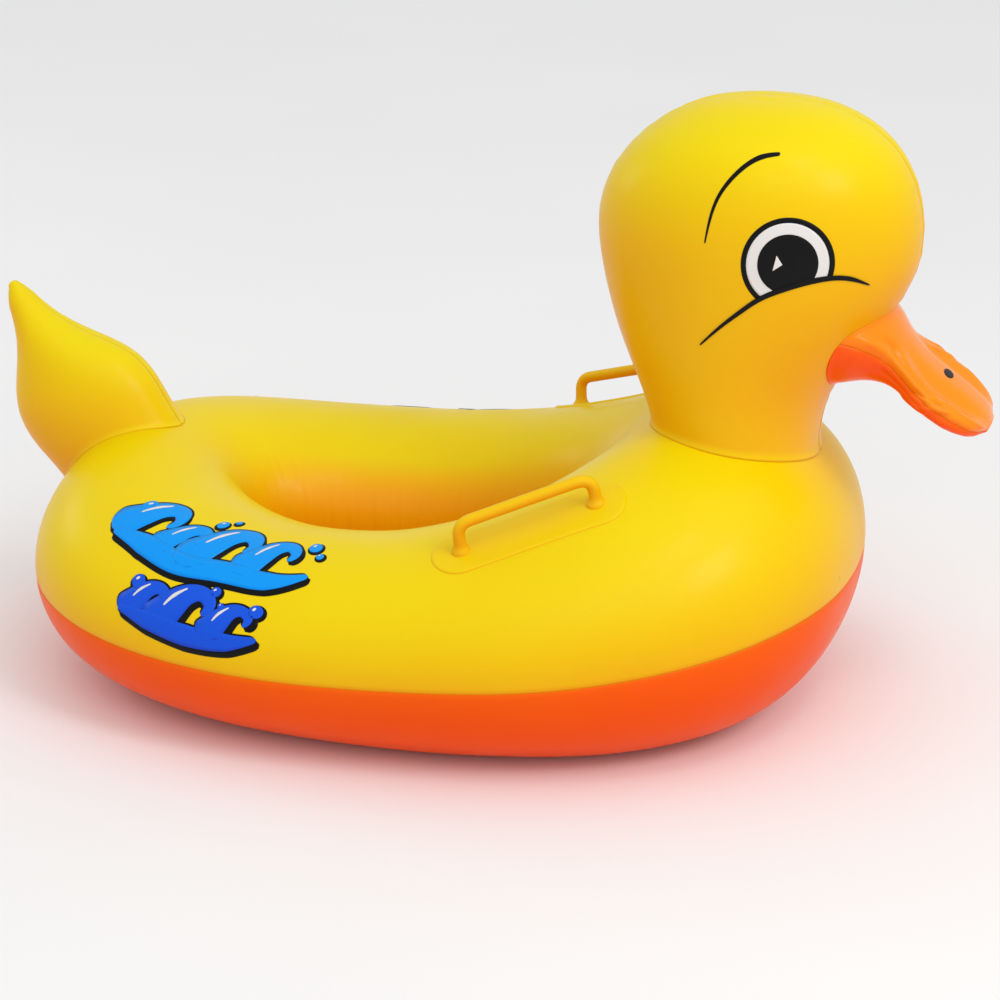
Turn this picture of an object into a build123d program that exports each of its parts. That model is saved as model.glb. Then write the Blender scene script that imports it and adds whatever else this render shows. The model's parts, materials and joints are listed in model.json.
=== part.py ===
"""Inflatable duck ride-in pool float for a small child: an oval ring with a raised head, bill and tail,
two moulded grab handles and three plugged inflation valves.

Millimetres. +X points to the bill, +Y to the duck's left, +Z up. The origin is on the floor, under the
middle of the float's whole length. The vinyl is drawn as closed-up thin skins round empty air chambers.
"""
from math import cos, pi, radians, sin
import os

from build123d import *

# ---------------------------------------------------------------- driving dimensions
SKIN = 0.8  # vinyl film
RING_X = -34.3  # ring centre, from the middle of the whole length
# The ring seen from above: an outer and an inner oval, half-lengths along X and half-widths along Y.
OUTER_LENGTH, OUTER_WIDTH, OUTER_SQUARE, OUTER_EGG = 430.0, 325.0, 2.5, -0.03
INNER_LENGTH, INNER_WIDTH, INNER_SQUARE, INNER_EGG = 180.0, 80.0, 2.0, 0.25
INNER_X = -38.0  # hole centre, from the ring centre
# Height of the tube at the tail, amidships and at the breast, and how far its keel lifts at the tail.
TAIL_TUBE, MID_TUBE, BREAST_TUBE = 229.0, 208.0, 334.0
HEIGHT_REACH = 322.0  # distance from the ring centre at which those heights are given
TAIL_LIFT = 8.0
FLOOR_SINK = 1.2  # depth that the floor presses the keel flat
RING_STATIONS, RING_SPAN = 12, 4  # stations in half the ring, and how many one loft covers

# Weld line between the yellow top panel and the orange bottom panel: place from the ring centre, height.
WELD_LINE = [(-470, 119), (-330, 106), (-120, 97), (60, 102), (210, 114), (330, 132), (430, 151), (500, 160)]

# Head and neck, level sections: height, back of head, front of head (from the ring centre), half-width.
HEAD_SECTIONS = [
    (215, 214, 392, 98),
    (262, 219, 385, 106),
    (300, 216, 386, 110),
    (338, 203, 398, 113),
    (375, 187, 421, 117),
    (415, 173, 450, 121),
    (462, 162, 473, 124),
    (510, 160, 476, 124),
    (556, 177, 464, 115),
    (592, 207, 440, 95),
    (615, 240, 409, 68),
    (627, 268, 380, 43),
    (632.5, 300, 350, 18),
]

# Tail sections, square to its leaning spine: spine point (from the ring centre, height), lean from the
# vertical in degrees, half-length fore and aft, half-width.
TAIL_SECTIONS = [
    (-352, 128, 40, 52, 38),
    (-372, 164, 40, 64, 45),
    (-392, 204, 38, 75, 50),
    (-412, 242, 38, 77, 50),
    (-433, 279, 38, 62, 42),
    (-453, 312, 36, 41, 31),
    (-470, 340, 34, 25, 20),
    (-482, 360, 32, 14, 12),
    (-487, 369, 32, 7, 6),
]

# Bill sections, square to its drooping spine: spine point, droop below the horizontal in degrees,
# half-width, half-thickness.
BILL_SECTIONS = [
    (386, 402, 18, 76, 44),
    (418, 394, 20, 76, 45),
    (446, 384, 26, 66, 41),
    (470, 371, 34, 55, 33),
    (492, 356, 40, 59, 28),
    (514, 338, 42, 64, 27),
    (534, 320, 43, 60, 24),
    (549, 306, 44, 45, 17),
    (556, 299.5, 44, 27, 9),
]
# The weld between the two bill panels follows the spine, run on past both of its ends to these points.
BILL_WELD_START, BILL_WELD_END = (340, 412), (600, 256)

# Grab handles: where the rear and front foot stand on the ring (turn and rise, in degrees) and the grip.
REAR_FOOT, FRONT_FOOT = (77.1, 73.1), (51.5, 80.4)
GRIP_RADIUS = 6.0
GRIP_HEIGHT = 30.0  # skin to the middle of the grip
GRIP_BEND = 16.0
FOOT_RADIUS, FOOT_THICK = 9.5, 3.0
PATCH = 1.6  # thickness of the welded pads and valve flanges
PAD_LENGTH, PAD_WIDTH = 196.0, 58.0

# Inflation valves, one for each air chamber. Heights are above the skin.
RING_VALVE = (radians(135), radians(50))  # turn and rise on the ring
HEAD_VALVE = (3, radians(118))  # section and turn on the neck
TAIL_VALVE = 3  # section of the tail
FLANGE_RADIUS = 13.0
COLLAR_RADIUS, COLLAR_LOW, COLLAR_HIGH = 7.6, -6.0, 2.4
STEM_RADIUS, STEM_BORE, STEM_LOW = 6.0, 3.8, -20.0
LIP_RADIUS, LIP_THICK = 7.2, 1.8
RIM_RADIUS, RIM_LOW, RIM_HIGH = 8.4, 2.5, 3.7
SLIDE_GAP = 0.06
CAP_RADIUS, CAP_LOW, CAP_HIGH, CAP_ROUND = 7.4, 3.8, 5.2, 0.5
PLUG_TOP, PLUG_TIP, PLUG_DEPTH = 3.55, 2.85, 5.0
BEND_X, BEND_Z, BEAD_RADIUS = 12.4, 3.1, 0.8  # the line that the strap bends about, and the bead on it
TAB_WIDTH, TAB_GAP = 5.0, 0.1
STRAP_WIDTH, STRAP_LOW, STRAP_HIGH = 4.0, 3.9, 4.7
FLAP_RADIUS, FLAP_LOW, FLAP_HIGH = 5.0, -20.7, -20.1
FLAP_BEND_X, FLAP_BEND_Z, FLAP_BEAD = 5.4, -20.6, 0.5

STEP = 0.01  # radians, for taking a normal across a skin
OUTLINE_POINTS = 16  # points that a spline rounds into an ellipse
WIDE = 500.0  # reach of a cutting block to either side, past every piece
DEEP = 50.0  # depth of a cutting block under the floor
THROUGH = 40.0  # reach of a cut or patch outline to either side of the skin, short of the far skin


def at(x, y, z):
    """A point given from the ring centre, in the part's own frame."""
    return Vector(x + RING_X, y, z)


def oval_face(plane, a, b):
    """A filled ellipse on a plane, its outline always starting from the plane's X axis."""
    with BuildSketch(plane) as section:
        with BuildLine():
            Spline(
                [
                    (a * cos(2 * pi * i / OUTLINE_POINTS), b * sin(2 * pi * i / OUTLINE_POINTS))
                    for i in range(OUTLINE_POINTS)
                ],
                periodic=True,
            )
        make_face()
    return section.sketch.face()


# ---------------------------------------------------------------- ring
def oval(turn, length, width, square, egg, x):
    """A point of a squared, slightly egg-shaped oval, seen from above."""
    c, s = cos(turn), sin(turn)
    along = abs(c) ** (2 / square) * (1 if c >= 0 else -1)
    across = abs(s) ** (2 / square) * (1 if s >= 0 else -1)
    return Vector(x + length * along, width * across * (1 + egg * c), 0)


def through_three(x, tail, mid, breast):
    """The parabola through a value at the tail, one amidships and one at the breast."""
    q = x / HEIGHT_REACH
    return mid * (1 - q * q) + tail * (q * q - q) / 2 + breast * (q * q + q) / 2


def ring_section(turn):
    """Middle, outward direction, half-width and half-height of the tube at one place round the ring."""
    outer = oval(turn, OUTER_LENGTH, OUTER_WIDTH, OUTER_SQUARE, OUTER_EGG, 0)
    inner = oval(turn, INNER_LENGTH, INNER_WIDTH, INNER_SQUARE, INNER_EGG, INNER_X)
    middle = (outer + inner) * 0.5
    half = (outer - inner) * 0.5
    height = through_three(middle.X, TAIL_TUBE, MID_TUBE, BREAST_TUBE) / 2
    keel = through_three(middle.X, TAIL_LIFT, 0, 0) - FLOOR_SINK
    return at(middle.X, middle.Y, keel + height), half.normalized(), half.length, height


def ring_plane(station):
    """The upright plane of one station, its normal pointing on round the ring towards the tail."""
    middle, outward, _, _ = ring_section(pi * station / RING_STATIONS)
    return Plane(origin=middle, x_dir=Vector(0, 0, 1), z_dir=outward.cross(Vector(0, 0, -1)))


def ring_span(start, stop, grow):
    """The filled tube between two stations, shaped by one station more at either end."""
    sections = []
    for station in range(start - 1, stop + 2):
        _, _, a, b = ring_section(pi * station / RING_STATIONS)
        sections.append(oval_face(ring_plane(station), b + grow, a + grow))
    with BuildPart() as span:
        loft(sections)
        split(bisect_by=ring_plane(start), keep=Keep.TOP)
        split(bisect_by=ring_plane(stop), keep=Keep.BOTTOM)
    return span.part


def ring_solid(grow, floor):
    """The whole ring, filled, with its surface moved out by grow and its keel cut flat at floor."""
    with BuildPart() as ring:
        for start in range(0, RING_STATIONS, RING_SPAN):
            add(ring_span(start, start + RING_SPAN, grow))
        split(bisect_by=Plane.XY.offset(floor), keep=Keep.TOP)
        mirror(about=Plane.XZ)
    return ring.part


def ring_point(turn, rise):
    """A point of the ring's skin. turn goes round the ring from the bill, rise from the outside to the crown."""
    middle, outward, a, b = ring_section(turn)
    return middle + outward * (a * cos(rise)) + Vector(0, 0, b * sin(rise))


def ring_normal(turn, rise):
    """The outward normal there, from two short steps across the skin."""
    onward = ring_point(turn + STEP, rise) - ring_point(turn - STEP, rise)
    upward = ring_point(turn, rise + STEP) - ring_point(turn, rise - STEP)
    return onward.cross(upward).normalized()


# ---------------------------------------------------------------- head, tail and bill
def head_solid(grow):
    """Head and neck, filled, from inside the ring up to the crown."""
    sections = []
    for z, back, front, half_width in HEAD_SECTIONS:
        end = grow if z == HEAD_SECTIONS[-1][0] else 0
        level = Plane(origin=at((back + front) / 2, 0, z + end))
        sections.append(oval_face(level, (front - back) / 2 + grow, half_width + grow))
    with BuildPart() as body:
        loft(sections)
    return body.part


def tail_solid(grow):
    """Tail, filled, from inside the ring to its tip."""
    sections = []
    for x, z, lean, half_length, half_width in TAIL_SECTIONS:
        spine = Vector(-sin(radians(lean)), 0, cos(radians(lean)))
        fore = Vector(cos(radians(lean)), 0, sin(radians(lean)))
        end = grow if x == TAIL_SECTIONS[-1][0] else 0
        square = Plane(origin=at(x, 0, z) + spine * end, x_dir=fore, z_dir=spine)
        sections.append(oval_face(square, half_length + grow, half_width + grow))
    with BuildPart() as body:
        loft(sections)
    return body.part


def bill_solid(grow):
    """Bill, filled, from inside the head to its tip."""
    sections = []
    for x, z, droop, half_width, half_thick in BILL_SECTIONS:
        spine = Vector(cos(radians(droop)), 0, -sin(radians(droop)))
        end = grow if x == BILL_SECTIONS[-1][0] else 0
        square = Plane(origin=at(x, 0, z) + spine * end, x_dir=Vector(0, 1, 0), z_dir=spine)
        sections.append(oval_face(square, half_width + grow, half_thick + grow))
    with BuildPart() as body:
        loft(sections)
    return body.part


def below(line):
    """Everything under a line drawn in the XZ plane, right across the float."""
    with BuildPart() as block:
        with BuildSketch(Plane.XZ):
            with BuildLine():
                top = Spline([(x + RING_X, z) for x, z in line])
                Polyline(top @ 1, ((top @ 1).X, -DEEP), ((top @ 0).X, -DEEP), top @ 0)
            make_face()
        extrude(amount=WIDE, both=True)
    return block.part


ring_outer, ring_inner = ring_solid(0, 0), ring_solid(-SKIN, SKIN)
head_outer, head_inner = head_solid(0), head_solid(-SKIN)
tail_outer, tail_inner = tail_solid(0), tail_solid(-SKIN)
bill_outer, bill_inner = bill_solid(0), bill_solid(-SKIN)
ring_raised, head_raised, tail_raised = ring_solid(PATCH, 0), head_solid(PATCH), tail_solid(PATCH)
ring_below = below(WELD_LINE)
bill_spine = [(x, z) for x, z, *_ in BILL_SECTIONS]
bill_below = below([BILL_WELD_START] + bill_spine + [BILL_WELD_END])


# ---------------------------------------------------------------- valve seats
def head_point(section, turn):
    """A point of the head's skin at one of its sections. turn goes round from the bill towards the left."""
    z, back, front, half_width = HEAD_SECTIONS[section]
    return at((back + front) / 2 + (front - back) / 2 * cos(turn), half_width * sin(turn), z)


def head_normal(section, turn):
    """The outward normal there, taken across the sections above and below."""
    onward = head_point(section, turn + STEP) - head_point(section, turn - STEP)
    upward = head_point(section + 1, turn) - head_point(section - 1, turn)
    return onward.cross(upward).normalized()


def tail_side(section):
    """The middle of the tail's left side at one of its sections."""
    x, z, _, _, half_width = TAIL_SECTIONS[section]
    return at(x, half_width, z)


def tail_normal(section):
    """The outward normal there."""
    lean = radians(TAIL_SECTIONS[section][2])
    upward = tail_side(section + 1) - tail_side(section - 1)
    return upward.cross(Vector(cos(lean), 0, sin(lean))).normalized()


def seat(point, normal, strap_to):
    """A valve's own plane on the skin: Z points out and X points to where the strap bends."""
    return Plane(origin=point, x_dir=strap_to - normal * strap_to.dot(normal), z_dir=normal)


VALVE_SEATS = {
    "ring": seat(ring_point(*RING_VALVE), ring_normal(*RING_VALVE), Vector(0, 0, 1)),
    "head": seat(head_point(*HEAD_VALVE), head_normal(*HEAD_VALVE), Vector(0, 0, 1)),
    "tail": seat(tail_side(TAIL_VALVE), tail_normal(TAIL_VALVE), Vector(0, 0, 1)),
}
VALVE_SKINS = {
    "ring": (ring_outer, ring_raised),
    "head": (head_outer, head_raised),
    "tail": (tail_outer, tail_raised),
}


def disc(plane, low, high, radius, bore=0):
    """A round disc or tube on a plane, between two heights above it."""
    with BuildPart() as round_piece:
        with BuildSketch(plane.offset(low)):
            Circle(radius)
            if bore:
                Circle(bore, mode=Mode.SUBTRACT)
        extrude(amount=high - low)
    return round_piece.part


def patch_on(outline, skin, raised):
    """The film patch lying on a skin that an outline, pushed both ways through it, marks out."""
    with BuildPart() as patch:
        extrude(outline, amount=THROUGH, both=True)
        add(raised, mode=Mode.INTERSECT)
        add(skin, mode=Mode.SUBTRACT)
    return patch.part


def save(part, label):
    """Writes one finished piece as its own node."""
    part.label = label
    export_step(part, f"parts/{label}.step")


os.makedirs("parts", exist_ok=True)

# ---------------------------------------------------------------- vinyl panels
with BuildPart() as ring_top_panel:
    add(ring_outer)
    add(ring_inner, mode=Mode.SUBTRACT)
    add(ring_below, mode=Mode.SUBTRACT)
    add(disc(VALVE_SEATS["ring"], -THROUGH, THROUGH, COLLAR_RADIUS), mode=Mode.SUBTRACT)
save(ring_top_panel.part, "ring_top_panel")

with BuildPart() as ring_bottom_panel:
    add(ring_outer)
    add(ring_inner, mode=Mode.SUBTRACT)
    add(ring_below, mode=Mode.INTERSECT)
save(ring_bottom_panel.part, "ring_bottom_panel")

for label, side in (("head_left_panel", Keep.BOTTOM), ("head_right_panel", Keep.TOP)):
    with BuildPart() as head_panel:
        add(head_outer)
        add(head_inner, mode=Mode.SUBTRACT)
        add(ring_outer, mode=Mode.SUBTRACT)
        add(disc(VALVE_SEATS["head"], -THROUGH, THROUGH, COLLAR_RADIUS), mode=Mode.SUBTRACT)
        split(bisect_by=Plane.XZ, keep=side)
    save(head_panel.part, label)

for label, side in (("tail_left_panel", Keep.BOTTOM), ("tail_right_panel", Keep.TOP)):
    with BuildPart() as tail_panel:
        add(tail_outer)
        add(tail_inner, mode=Mode.SUBTRACT)
        add(ring_outer, mode=Mode.SUBTRACT)
        add(disc(VALVE_SEATS["tail"], -THROUGH, THROUGH, COLLAR_RADIUS), mode=Mode.SUBTRACT)
        split(bisect_by=Plane.XZ, keep=side)
    save(tail_panel.part, label)

for label, mode in (("bill_upper_panel", Mode.SUBTRACT), ("bill_lower_panel", Mode.INTERSECT)):
    with BuildPart() as bill_panel:
        add(bill_outer)
        add(bill_inner, mode=Mode.SUBTRACT)
        add(bill_below, mode=mode)
        add(head_outer, mode=Mode.SUBTRACT)
    save(bill_panel.part, label)

# ---------------------------------------------------------------- grab handles
for label, side in (("left", 1), ("right", -1)):
    rear, front = [
        ring_point(radians(turn) * side, radians(rise)) for turn, rise in (REAR_FOOT, FRONT_FOOT)
    ]
    skin_up = ring_normal(radians(REAR_FOOT[0]) * side, radians(REAR_FOOT[1]))
    up = (skin_up + Vector(0, 0, 1)).normalized()
    along = (front - rear).normalized()
    lie = Plane(origin=(rear + front) / 2, x_dir=along, z_dir=up - along * up.dot(along))
    with BuildSketch(lie) as pad_outline:
        SlotOverall(PAD_LENGTH, PAD_WIDTH)
    pad = patch_on(pad_outline.sketch.face(), ring_outer, ring_raised)
    save(pad, f"handle_pad_{label}")

    with BuildPart() as handle:
        with BuildLine():
            FilletPolyline(rear, rear + up * GRIP_HEIGHT, front + up * GRIP_HEIGHT, front, radius=GRIP_BEND)
        with BuildSketch(Plane(origin=rear, z_dir=up)):
            Circle(GRIP_RADIUS)
        sweep()
        for foot in (rear, front):
            with BuildSketch(Plane(origin=foot, z_dir=up)):
                Circle(FOOT_RADIUS)
            extrude(amount=PATCH + FOOT_THICK)
        add(ring_raised, mode=Mode.SUBTRACT)
    save(handle.part, f"handle_{label}")

# ---------------------------------------------------------------- valves
for name, plane in VALVE_SEATS.items():
    skin, raised = VALVE_SKINS[name]
    with BuildSketch(plane) as flange_outline:
        Circle(FLANGE_RADIUS)
    with BuildPart() as valve_flange:
        add(patch_on(flange_outline.sketch.face(), skin, raised))
        add(disc(plane, COLLAR_LOW, COLLAR_HIGH, COLLAR_RADIUS))
        add(disc(plane, 2 * COLLAR_LOW, 2 * COLLAR_HIGH, STEM_RADIUS + SLIDE_GAP), mode=Mode.SUBTRACT)
    save(valve_flange.part, f"{name}_valve_flange")

    with BuildPart() as valve_stem:
        add(disc(plane, STEM_LOW, RIM_HIGH, STEM_RADIUS))
        add(disc(plane, STEM_LOW, STEM_LOW + LIP_THICK, LIP_RADIUS))
        add(disc(plane, RIM_LOW, RIM_HIGH, RIM_RADIUS))
        with BuildSketch(plane.offset(RIM_LOW)):
            Rectangle(BEND_X - BEAD_RADIUS - TAB_GAP, TAB_WIDTH, align=(Align.MIN, Align.CENTER))
        extrude(amount=RIM_HIGH - RIM_LOW)
        add(disc(plane, 2 * STEM_LOW, 2 * RIM_HIGH, STEM_BORE), mode=Mode.SUBTRACT)
    save(valve_stem.part, f"{name}_valve_stem")

    with BuildPart() as valve_stopper:
        add(disc(plane, CAP_LOW, CAP_HIGH, CAP_RADIUS))
        fillet(valve_stopper.edges().group_by(Axis(plane.origin, plane.z_dir))[-1], radius=CAP_ROUND)
        with BuildSketch(plane.offset(CAP_LOW)) as plug_root:
            Circle(PLUG_TOP)
        with BuildSketch(plane.offset(CAP_LOW - PLUG_DEPTH)) as plug_end:
            Circle(PLUG_TIP)
        loft([plug_end.sketch.face(), plug_root.sketch.face()])
    save(valve_stopper.part, f"{name}_valve_stopper")

    edge_on = Plane(origin=plane.origin, x_dir=plane.x_dir, z_dir=-plane.y_dir)
    with BuildPart() as valve_strap:
        with BuildSketch(edge_on):
            with BuildLine():
                Polyline(
                    (0, STRAP_LOW),
                    (BEND_X - BEAD_RADIUS, STRAP_LOW),
                    (BEND_X - BEAD_RADIUS, BEND_Z),
                    (BEND_X + BEAD_RADIUS, BEND_Z),
                    (BEND_X + BEAD_RADIUS, STRAP_LOW),
                    (BEND_X, STRAP_HIGH),
                    (0, STRAP_HIGH),
                    close=True,
                )
            make_face()
            with Locations((BEND_X, BEND_Z)):
                Circle(BEAD_RADIUS)
        extrude(amount=STRAP_WIDTH / 2, both=True)
        add(disc(plane, 0, 2 * CAP_HIGH, CAP_RADIUS), mode=Mode.SUBTRACT)
    save(valve_strap.part, f"{name}_valve_strap")

    with BuildPart() as valve_flap:
        add(disc(plane, FLAP_LOW, FLAP_HIGH, FLAP_RADIUS))
        with BuildSketch(edge_on):
            with Locations((FLAP_BEND_X, FLAP_BEND_Z)):
                Circle(FLAP_BEAD)
        extrude(amount=FLAP_RADIUS / 2, both=True)
        with BuildSketch(plane.offset(FLAP_LOW)):
            Rectangle(FLAP_BEND_X, FLAP_RADIUS, align=(Align.MIN, Align.CENTER))
        extrude(amount=FLAP_HIGH - FLAP_LOW)
    save(valve_flap.part, f"{name}_valve_flap")
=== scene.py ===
"""Looks of the inflatable duck ride-in pool float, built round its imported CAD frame.

Lengths are in millimetres until a mesh is made. X points to the bill, Y to the duck's left, Z up, and the
origin is on the floor. Every inflated skin is a grid of rows and columns, so welds, puckers and prints are
placed by formula on it.
"""

import json
from math import cos, pi, radians, sin, tau

import bmesh
import bpy
import numpy as np
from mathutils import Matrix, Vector
from mathutils.bvhtree import BVHTree


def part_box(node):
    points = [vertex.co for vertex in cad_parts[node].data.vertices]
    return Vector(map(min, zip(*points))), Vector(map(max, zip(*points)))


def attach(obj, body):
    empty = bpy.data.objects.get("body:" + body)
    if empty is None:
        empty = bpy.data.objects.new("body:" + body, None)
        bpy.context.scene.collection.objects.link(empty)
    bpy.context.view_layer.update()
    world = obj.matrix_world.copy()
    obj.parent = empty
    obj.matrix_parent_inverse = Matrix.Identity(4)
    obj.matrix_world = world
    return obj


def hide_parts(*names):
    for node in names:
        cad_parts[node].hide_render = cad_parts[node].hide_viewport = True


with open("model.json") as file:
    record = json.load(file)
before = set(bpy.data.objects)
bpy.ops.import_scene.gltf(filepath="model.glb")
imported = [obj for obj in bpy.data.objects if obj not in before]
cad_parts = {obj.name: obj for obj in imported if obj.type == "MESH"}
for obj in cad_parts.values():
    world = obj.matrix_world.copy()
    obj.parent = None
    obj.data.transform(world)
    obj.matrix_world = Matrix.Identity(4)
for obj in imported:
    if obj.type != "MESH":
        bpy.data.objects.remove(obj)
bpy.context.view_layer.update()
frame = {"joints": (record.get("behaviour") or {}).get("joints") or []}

MM = 0.001
FILM = 0.8  # thickness of a vinyl skin
SIDES = (("right", -1), ("left", 1))

# ---------------------------------------------------------------- shape of the float
# The ring and the neck follow the CAD model. The rest departs from it: the crown by up to about 12 mm, the
# bill by 17 mm and the tail by 33 mm.
RING_X = -34.3  # ring centre
OUTER = dict(length=430.0, width=325.0, square=2.5, egg=-0.03, x=0.0)
INNER = dict(length=180.0, width=80.0, square=2.0, egg=0.25, x=-38.0)
TAIL_TUBE, MID_TUBE, BREAST_TUBE, HEIGHT_REACH = 229.0, 208.0, 334.0, 322.0
TAIL_LIFT, FLOOR_SINK = 8.0, 1.2
STATIONS = 24
# Weld between the yellow and the orange panel: place from the ring centre, height.
WELD_LINE = [
    (-470, 119),
    (-330, 106),
    (-120, 97),
    (60, 102),
    (210, 114),
    (330, 132),
    (430, 151),
    (500, 160),
]

# Head and neck: height, back, front (from the ring centre), half-width.
HEAD_SECTIONS = [
    (215, 214, 392, 98),
    (262, 219, 385, 106),
    (300, 216, 386, 110),
    (338, 203, 398, 113),
    (375, 187, 421, 117),
    (415, 173, 450, 121),
    (462, 162, 473, 124),
    (510, 160, 476, 124),
    (553, 176, 464, 116),
    (584, 203, 442, 99),
    (605, 234, 413, 72),
    (617, 264, 382, 45),
    (622, 296, 350, 19),
]

# Tail: spine point (from the ring centre, height), lean in degrees, half-length fore and aft, half-width.
TAIL_SECTIONS = [
    (-341, 150, 22, 72, 42),
    (-360, 187, 20, 77, 47),
    (-376, 210.5, 20, 79.5, 50),
    (-391, 231, 20, 82, 50.9),
    (-405.5, 257, 18.5, 81.5, 50.6),
    (-420, 287, 18.5, 69, 45),
    (-445, 318, 18, 39, 33),
    (-469, 347, 22, 19, 20),
    (-482.5, 368, 36, 9.5, 10),
    (-485, 373, 40, 6, 6),
]

REAR_FOOT, FRONT_FOOT = (77.1, 73.1), (51.5, 80.4)  # turn and rise on the ring, in degrees
GRIP_RADIUS, GRIP_HEIGHT, GRIP_BEND = 6.0, 30.0, 16.0
PAD_LENGTH, PAD_WIDTH, PAD_THICK = 196.0, 58.0, 1.6


# ---------------------------------------------------------------- splines and grids
def cubic(knots, values, where):
    """Natural cubic spline through rows of values at the knots, read at the places asked for."""
    knots, values, where = (np.asarray(a, float) for a in (knots, values, where))
    gap = np.diff(knots)
    count = len(knots)
    system, right = np.eye(count), np.zeros_like(values)
    for i in range(1, count - 1):
        system[i, i - 1], system[i, i], system[i, i + 1] = gap[i - 1], 2 * (gap[i - 1] + gap[i]), gap[i]
        right[i] = 6 * ((values[i + 1] - values[i]) / gap[i] - (values[i] - values[i - 1]) / gap[i - 1])
    bend = np.linalg.solve(system, right)
    i = np.clip(np.searchsorted(knots, where, side="right") - 1, 0, count - 2)
    spread = (-1,) + (1,) * (values.ndim - 1)
    h, t = gap[i].reshape(spread), (where - knots[i]).reshape(spread)
    u = h - t
    ends = (bend[i] * u**3 + bend[i + 1] * t**3) / (6 * h)
    return ends + (values[i] / h - bend[i] * h / 6) * u + (values[i + 1] / h - bend[i + 1] * h / 6) * t


def chord(points):
    """Distance run along a list of points."""
    steps = np.linalg.norm(np.diff(np.asarray(points, float), axis=0), axis=1)
    return np.concatenate([[0.0], np.cumsum(steps)])


def smooth(t):
    """A soft step from 0 to 1."""
    t = np.clip(t, 0, 1)
    return t * t * (3 - 2 * t)


def normals(grid, round_rows=False, round_cols=True):
    """Unit normals of a grid of points, wrapping where the grid is closed."""

    def slope(axis, closed):
        if closed:
            return np.roll(grid, -1, axis) - np.roll(grid, 1, axis)
        return np.gradient(grid, axis=axis)

    cross = np.cross(slope(0, round_rows), slope(1, round_cols))
    size = np.linalg.norm(cross, axis=2, keepdims=True)
    return cross / np.maximum(size, 1e-9)


def grid_mesh(name, grid, round_rows=False, round_cols=False):
    """A smooth mesh from a grid of points in millimetres; rows that meet in a point are welded."""
    rows, cols = grid.shape[:2]
    row_faces, col_faces = (rows if round_rows else rows - 1), (cols if round_cols else cols - 1)
    faces = []
    for r in range(row_faces):
        for c in range(col_faces):
            r2, c2 = (r + 1) % rows, (c + 1) % cols
            faces.append((r * cols + c, r2 * cols + c, r2 * cols + c2, r * cols + c2))
    mesh = bpy.data.meshes.new(name)
    mesh.from_pydata((grid.reshape(-1, 3) * MM).tolist(), [], faces)
    shape = bmesh.new()
    shape.from_mesh(mesh)
    bmesh.ops.remove_doubles(shape, verts=shape.verts, dist=1e-6)
    bmesh.ops.dissolve_degenerate(shape, edges=shape.edges, dist=1e-7)
    for face in shape.faces:
        face.smooth = True
    shape.to_mesh(mesh)
    shape.free()
    piece = bpy.data.objects.new(name, mesh)
    bpy.context.scene.collection.objects.link(piece)
    return piece


def thicken(piece, thickness, outward=False):
    """Gives an open skin the thickness of its film, inwards unless told otherwise, as real geometry."""
    shape = bmesh.new()
    shape.from_mesh(piece.data)
    shape.normal_update()
    inner = {}
    way = thickness * MM * (1 if outward else -1)
    old_faces = list(shape.faces)
    open_edges = [edge for edge in shape.edges if edge.is_boundary]
    for vert in list(shape.verts):
        inner[vert] = shape.verts.new(vert.co + vert.normal * way)
    for face in old_faces:
        copy = shape.faces.new([inner[v] for v in reversed(face.verts)])
        copy.smooth = True
    for edge in open_edges:
        loop = edge.link_loops[0]
        a, b = loop.vert, loop.link_loop_next.vert
        rim = shape.faces.new([b, a, inner[a], inner[b]])
        rim.smooth = False
    bmesh.ops.recalc_face_normals(shape, faces=shape.faces)
    shape.to_mesh(piece.data)
    shape.free()


def surface(grid, round_rows, round_cols):
    """A search tree over a grid's faces, in millimetres."""
    rows, cols = grid.shape[:2]
    faces = []
    for r in range(rows if round_rows else rows - 1):
        for c in range(cols if round_cols else cols - 1):
            r2, c2 = (r + 1) % rows, (c + 1) % cols
            faces.append((r * cols + c, r * cols + c2, r2 * cols + c2, r2 * cols + c))
    return BVHTree.FromPolygons(grid.reshape(-1, 3).tolist(), faces)


def cut_columns(grid, tree, rows, flare=0.0, reach=8.0, sink=0.6):
    """Trims every column of a grid, tip first, where it meets a surface, and spreads its rows evenly again.

    The last reach millimetres flare out by flare, like the film of a weld lying over on its neighbour.
    """
    out = np.empty((rows, grid.shape[1], 3))
    facing = normals(grid)
    for c in range(grid.shape[1]):
        line = grid[:, c]
        run = chord(line)
        end = run[-1]
        for r in range(len(line) - 1):
            step = line[r + 1] - line[r]
            size = np.linalg.norm(step)
            if size < 1e-6:
                continue
            hit = tree.ray_cast(Vector(line[r]), Vector(step / size), size)
            if hit[0] is not None:
                end = run[r] + hit[3] + sink
                break
        where = np.linspace(0, 1, rows) * end
        for k in range(3):
            out[:, c, k] = np.interp(where, run, line[:, k])
        lift = flare * np.clip(1 - (end - where) / reach, 0, 1) ** 2
        for k in range(3):
            out[:, c, k] += np.interp(where, run, facing[:, c, k]) * lift
    return out


def ripple(run, seed):
    """An uneven wave along a weld, from -1 to 1, that repeats the same way every time."""
    waves = ((23.0, 1.0, 0.3), (14.7, 0.8, 1.9), (37.0, 0.7, 4.1), (9.3, 0.35, 2.6))
    total = sum(size * np.sin(tau * run / length + phase * seed + seed) for length, size, phase in waves)
    return total / sum(size for _, size, _ in waves)


# ---------------------------------------------------------------- ring
def oval(turn, length, width, square, egg, x):
    """A point of a squared, slightly egg-shaped oval, seen from above."""
    c, s = cos(turn), sin(turn)
    along = abs(c) ** (2 / square) * (1 if c >= 0 else -1)
    across = abs(s) ** (2 / square) * (1 if s >= 0 else -1)
    return np.array([x + length * along, width * across * (1 + egg * c)])


def through_three(x, tail, mid, breast):
    """The parabola through a value at the tail, one amidships and one at the breast."""
    q = x / HEIGHT_REACH
    return mid * (1 - q * q) + tail * (q * q - q) / 2 + breast * (q * q + q) / 2


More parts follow.
